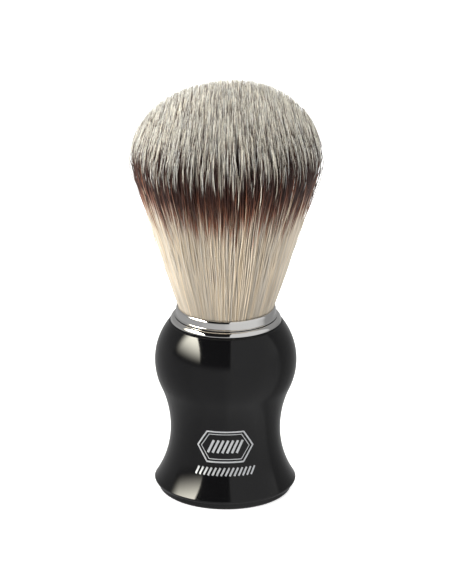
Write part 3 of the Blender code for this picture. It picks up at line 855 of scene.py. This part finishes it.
def print_stroke(bm, side, points, closed, width):
    """Lays one line of ink of constant width on the handle's front as a thin closed strip."""
    count = len(points)
    left, right = [], []
    for i, (x, y) in enumerate(points):
        before = Vector(points[i - 1]) if i > 0 or closed else None
        after = Vector(points[(i + 1) % count]) if i < count - 1 or closed else None
        here = Vector((x, y))
        first = (here - before).normalized() if before is not None else None
        last = (after - here).normalized() if after is not None else first
        first = last if first is None else first
        along = (first + last).normalized()
        across = Vector((-along.y, along.x)) * (width / 2 / max(along.dot(last), 0.3))
        left.append(here + across)
        right.append(here - across)
    spans = count if closed else count - 1
    rings = []
    for i in range(spans):
        j = (i + 1) % count
        length = (Vector(points[j]) - Vector(points[i])).length
        pieces = max(1, math.ceil(length / (0.6 * MM)))
        for k in range(pieces if closed or i < spans - 1 else pieces + 1):
            share = k / pieces
            rings.append((left[i].lerp(left[j], share), right[i].lerp(right[j], share)))
    verts = []
    for pair in rings:
        row = []
        for depth in (0.03 * MM, -0.03 * MM):
            for spot in pair:
                radius = radius_at(side, spot.y) + depth
                angle = spot.x / radius
                row.append(bm.verts.new((radius * math.sin(angle), -radius * math.cos(angle),
                                         spot.y)))
        verts.append(row)
    total = len(verts)
    for i in range(total if closed else total - 1):
        a, b = verts[i], verts[(i + 1) % total]
        for p, q in ((0, 1), (1, 3), (3, 2), (2, 0)):
            bm.faces.new((a[p], a[q], b[q], b[p]))
    if not closed:
        for row in (verts[0], verts[-1]):
            bm.faces.new((row[0], row[1], row[3], row[2]))


class BRUSH_OT_inner_parts(bpy.types.Operator):
    """Gives the parts inside the handle their materials"""
    bl_idname = "brush.inner_parts"
    bl_label = "Inner Parts"

    def execute(self, context):
        # Zinc-plated steel, blue-white and slightly cloudy.
        steel = cast_finish("zinc_plated_steel", "#B8BABD", 0.35, 0.2, 3 * MM, Metallic=1)
        # Natural nylon, moulded: milky and matt.
        nylon = cast_finish("natural_nylon", "#E4E0D3", 0.5, 0.06, 5 * MM)
        # Cured epoxy, pale amber with small bubbles.
        epoxy = cast_finish("cured_epoxy", "#C9B27A", 0.2, 0.18, 0.8 * MM)
        # Casting resin, darker amber where it has soaked in between the fibres.
        resin = cast_finish("casting_resin", "#8F6A35", 0.25, 0.3, 1.5 * MM)
        # Waxed polyester thread with a twist about 0.4 mm long.
        thread = cast_finish("waxed_polyester_thread", "#E3E0D6", 0.7, 0.35, 0.4 * MM)
        for node, finish in (("ballast_weight", steel), ("knot_cup", nylon),
                             ("setting_adhesive", epoxy), ("potting_resin", resin),
                             ("binding_thread", thread)):
            mesh = frame["nodes"][node].data
            mesh.materials.clear()
            mesh.materials.append(finish)
        return {"FINISHED"}


class BRUSH_OT_knot_heart(bpy.types.Operator):
    """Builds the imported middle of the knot, which the outer fibres hide"""
    bl_idname = "brush.knot_heart"
    bl_label = "Knot Heart"

    def execute(self, context):
        finish = packed_fibre(context.scene.brush_knot)
        root_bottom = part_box("root_bundle")[0].z
        first = JOINT_HEIGHT["neck_bend_x"]
        second = JOINT_HEIGHT["head_bend_y"]
        levels = ((root_bottom, first - BEND_REACH), (first - BEND_REACH, first + BEND_REACH),
                  (second - BEND_REACH, second + BEND_REACH))
        bodies = (("handle",), ("handle", "knot_neck"), ("knot_neck", "knot_head"))
        names = ("packed_roots", "packed_neck", "packed_head")
        for name, (bottom, top), ride_on in zip(names, levels, bodies):
            steps = 24
            heights = [bottom + (top - bottom) * i / steps for i in range(steps + 1)]
            outline = [(0, bottom)] + [(self.radius(z), z) for z in heights] + [(0, top)]
            piece = turned(name, outline, finish, steps=96)
            if len(ride_on) == 1:
                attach(piece, ride_on[0])
            else:
                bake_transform(piece)
            if name == "packed_roots":
                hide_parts("root_bundle")
        return {"FINISHED"}

    def radius(self, height):
        """The bundle inside the cup is drawn in by its thread; above, it follows the knot."""
        if height > LIP_HEIGHT:
            return knot_line(height) - HEART_INSET
        thread_low, thread_high = (corner.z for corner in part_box("binding_thread"))
        drawn_in = thread_low - MM < height < thread_high + MM
        return (10.3 if drawn_in else 10.4) * MM


class BRUSH_OT_fibres(bpy.types.Operator):
    """Grows the knot's fibres, split where the knot bends and splays"""
    bl_idname = "brush.fibres"
    bl_label = "Fibres"

    def execute(self, context):
        finish = dyed_fibre(context.scene.brush_knot)
        first = JOINT_HEIGHT["neck_bend_x"]
        second = JOINT_HEIGHT["head_bend_y"]
        start = LIP_HEIGHT - ROOT_DEPTH
        # Below the tufts only the outer layers can be seen.
        lower = grow_fibres("lower_fibres", finish, (OUTER_SHARE, 1), (0, 1),
                            (start, first + BEND_REACH), 3)
        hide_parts("neck_bundle")
        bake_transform(lower)
        middle = grow_fibres("middle_fibres", finish, (OUTER_SHARE, 1), (0, 1),
                             (second - BEND_REACH, second + BEND_REACH), 2)
        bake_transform(middle)
        deck = second + BEND_REACH
        hinge = JOINT_HEIGHT[TUFTS[0] + "_splay"]
        core_share = (CORE_RADIUS / knot_line(hinge)) ** 2
        core = grow_fibres("core_fibres", finish, (0, core_share), (0, 1), (deck, 1), 8)
        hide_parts("core_bundle")
        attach(core, "knot_head")
        for i, node in enumerate(TUFTS):
            tuft = grow_fibres(node + "_fibres", finish, (core_share, 1),
                               (i / len(TUFTS), (i + 1) / len(TUFTS)), (deck, 1), 8)
            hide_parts(node)
            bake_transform(tuft)
        return {"FINISHED"}


class BRUSH_OT_stage(bpy.types.Operator):
    """Sets up the floor, the studio lights and the camera"""
    bl_idname = "brush.stage"
    bl_label = "Stage"

    def execute(self, context):
        stage = context.scene.brush_stage
        self.make_floor(stage)
        self.make_world(context.scene)
        # A tall softbox to the left and a large overhead panel.
        self.make_light("left_softbox", (-0.7, -0.45, 0.22), (0.35, 0.4), 8)
        self.make_light("overhead_panel", (0.1, -0.2, 0.9), (0.8, 0.8), 9)
        self.make_camera(context.scene, stage)
        context.scene.view_settings.view_transform = "Standard"
        return {"FINISHED"}

    def make_floor(self, stage):
        mesh = bpy.data.meshes.new("floor")
        reach = 6.0
        mesh.from_pydata([(-reach, -reach, 0), (reach, -reach, 0), (reach, reach, 0),
                          (-reach, reach, 0)], [], [(0, 1, 2, 3)])
        floor = new_object("floor", mesh)
        floor.location.z = -0.02 * MM
        finish, _, shader = new_material("white_floor", stage.floor, 0.9)
        shader.inputs["Emission Color"].default_value = (1, 1, 1, 1)
        shader.inputs["Emission Strength"].default_value = 0.75
        mesh.materials.append(finish)
        floor.visible_glossy = False

    def make_world(self, scene):
        """Even light; reflections see a studio of a few large plain surfaces."""
        world = bpy.data.worlds.new("studio")
        scene.world = world
        world.use_nodes = True
        add = partial(add_node, world.node_tree)
        toward = add(SPLIT, [add("ShaderNodeTexCoord")])
        side, depth, up = toward.outputs

        # The table and the walls near it, by the direction round the brush.
        ahead = add(MATH, [depth, -1.0], "MULTIPLY")
        turn = add(MATH, [side, ahead], "ARCTAN2")
        share = add(RANGE, [turn, -math.pi, math.pi, 0.0, 1.0])
        low = add("ShaderNodeValToRGB", [share])
        stops = ((-180, 0.4), (-62, 0.44), (-50, 0.52), (-4, 0.58), (12, 0.76), (72, 0.78),
                 (92, 0.6), (102, 0.32), (130, 0.3), (160, 0.4))
        fill_ramp(low, [((degrees + 180) / 360, (grey,) * 3) for degrees, grey in stops])
        # Above them a dark gap ahead, a white wall to the right and a grey one behind. Each
        # surface gives way to the next over a soft edge; None is what lies there so far.
        seen = None
        for value, first, last, before, after in (
                (side, 0.125, 0.14, (0.012, 0.012, 0.012, 1), (0.8, 0.8, 0.8, 1)),
                (depth, 0.1, 0.2, None, (0.34, 0.34, 0.34, 1)), (up, -0.04, 0.24, low, None)):
            edge = add(RANGE, [value, first, last], interpolation_type="SMOOTHSTEP")
            seen = add(MIX, {0: edge, 6: before or seen, 7: after or seen}, data_type="RGBA")
        # A lit panel to the left, soft at all four edges.
        panel = None
        for value, first, last in ((side, -0.655, -0.675), (depth, 0.2, -0.1),
                                   (up, 0.12, 0.8), (up, 0.97, 0.88)):
            edge = add(RANGE, [value, first, last], interpolation_type="SMOOTHSTEP")
            panel = edge if panel is None else add(MATH, [panel, edge], "MULTIPLY")
        seen = add(MIX, {0: panel, 6: seen, 7: (40.0, 38.5, 33.0, 1)}, data_type="RGBA")
        # Only reflections see all this; everything else is lit by one even grey.
        path = add("ShaderNodeLightPath")
        seen = add(MIX, {0: path.outputs["Is Glossy Ray"], 6: (0.36, 0.36, 0.365, 1), 7: seen},
                   data_type="RGBA")
        join(world.node_tree.nodes["Background"], {"Color": seen})

    def make_light(self, name, place, size, power):
        data = bpy.data.lights.new(name, "AREA")
        data.shape = "RECTANGLE"
        data.size, data.size_y = size
        data.energy = power
        data.color = (1.0, 0.985, 0.95)
        light = new_object(name, data)
        light.location = place
        aim = Vector((0, 0, 0.06)) - Vector(place)
        light.rotation_euler = aim.to_track_quat("-Z", "Y").to_euler()
        light.visible_camera = False
        light.visible_glossy = False

    def make_camera(self, scene, stage):
        data = bpy.data.cameras.new("camera")
        data.lens = 270.7
        data.sensor_width = 36
        data.clip_end = 20
        camera = new_object("camera", data)
        back = Vector((0, -math.cos(stage.elevation), math.sin(stage.elevation)))
        camera.location = Vector((-0.02 * MM, 0, stage.aim_height)) + back * stage.distance
        level = (-back).to_track_quat("-Z", "Y")
        camera.rotation_euler = (Quaternion(back, stage.roll) @ level).to_euler()
        scene.camera = camera


class BRUSH_PT_panel(bpy.types.Panel):
    """Lists the brush's settings and its pieces"""
    bl_label = "Shaving Brush"
    bl_space_type = "VIEW_3D"
    bl_region_type = "UI"
    bl_category = "Brush"

    def draw(self, context):
        for name, group in SETTINGS.items():
            box = self.layout.box()
            for key in group.__annotations__:
                box.prop(getattr(context.scene, name), key)
        for operator in OPERATORS:
            self.layout.operator(operator.bl_idname)


OPERATORS = (BRUSH_OT_stage, BRUSH_OT_handle, BRUSH_OT_base_cap, BRUSH_OT_collar,
             BRUSH_OT_print, BRUSH_OT_inner_parts, BRUSH_OT_knot_heart, BRUSH_OT_fibres)


def register():
    for group in SETTINGS.values():
        bpy.utils.register_class(group)
    for item in OPERATORS + (BRUSH_PT_panel,):
        bpy.utils.register_class(item)
    for name, group in SETTINGS.items():
        setattr(bpy.types.Scene, name, PointerProperty(type=group))


def unregister():
    for name in SETTINGS:
        delattr(bpy.types.Scene, name)
    for item in reversed(OPERATORS + (BRUSH_PT_panel,)):
        bpy.utils.unregister_class(item)
    for group in reversed(tuple(SETTINGS.values())):
        bpy.utils.unregister_class(group)


def main():
    register()
    bpy.ops.brush.stage()
    bpy.ops.brush.handle()
    bpy.ops.brush.base_cap()
    bpy.ops.brush.collar()
    bpy.ops.brush.print()
    bpy.ops.brush.inner_parts()
    bpy.ops.brush.knot_heart()
    bpy.ops.brush.fibres()


if __name__ == "__main__":
    main()
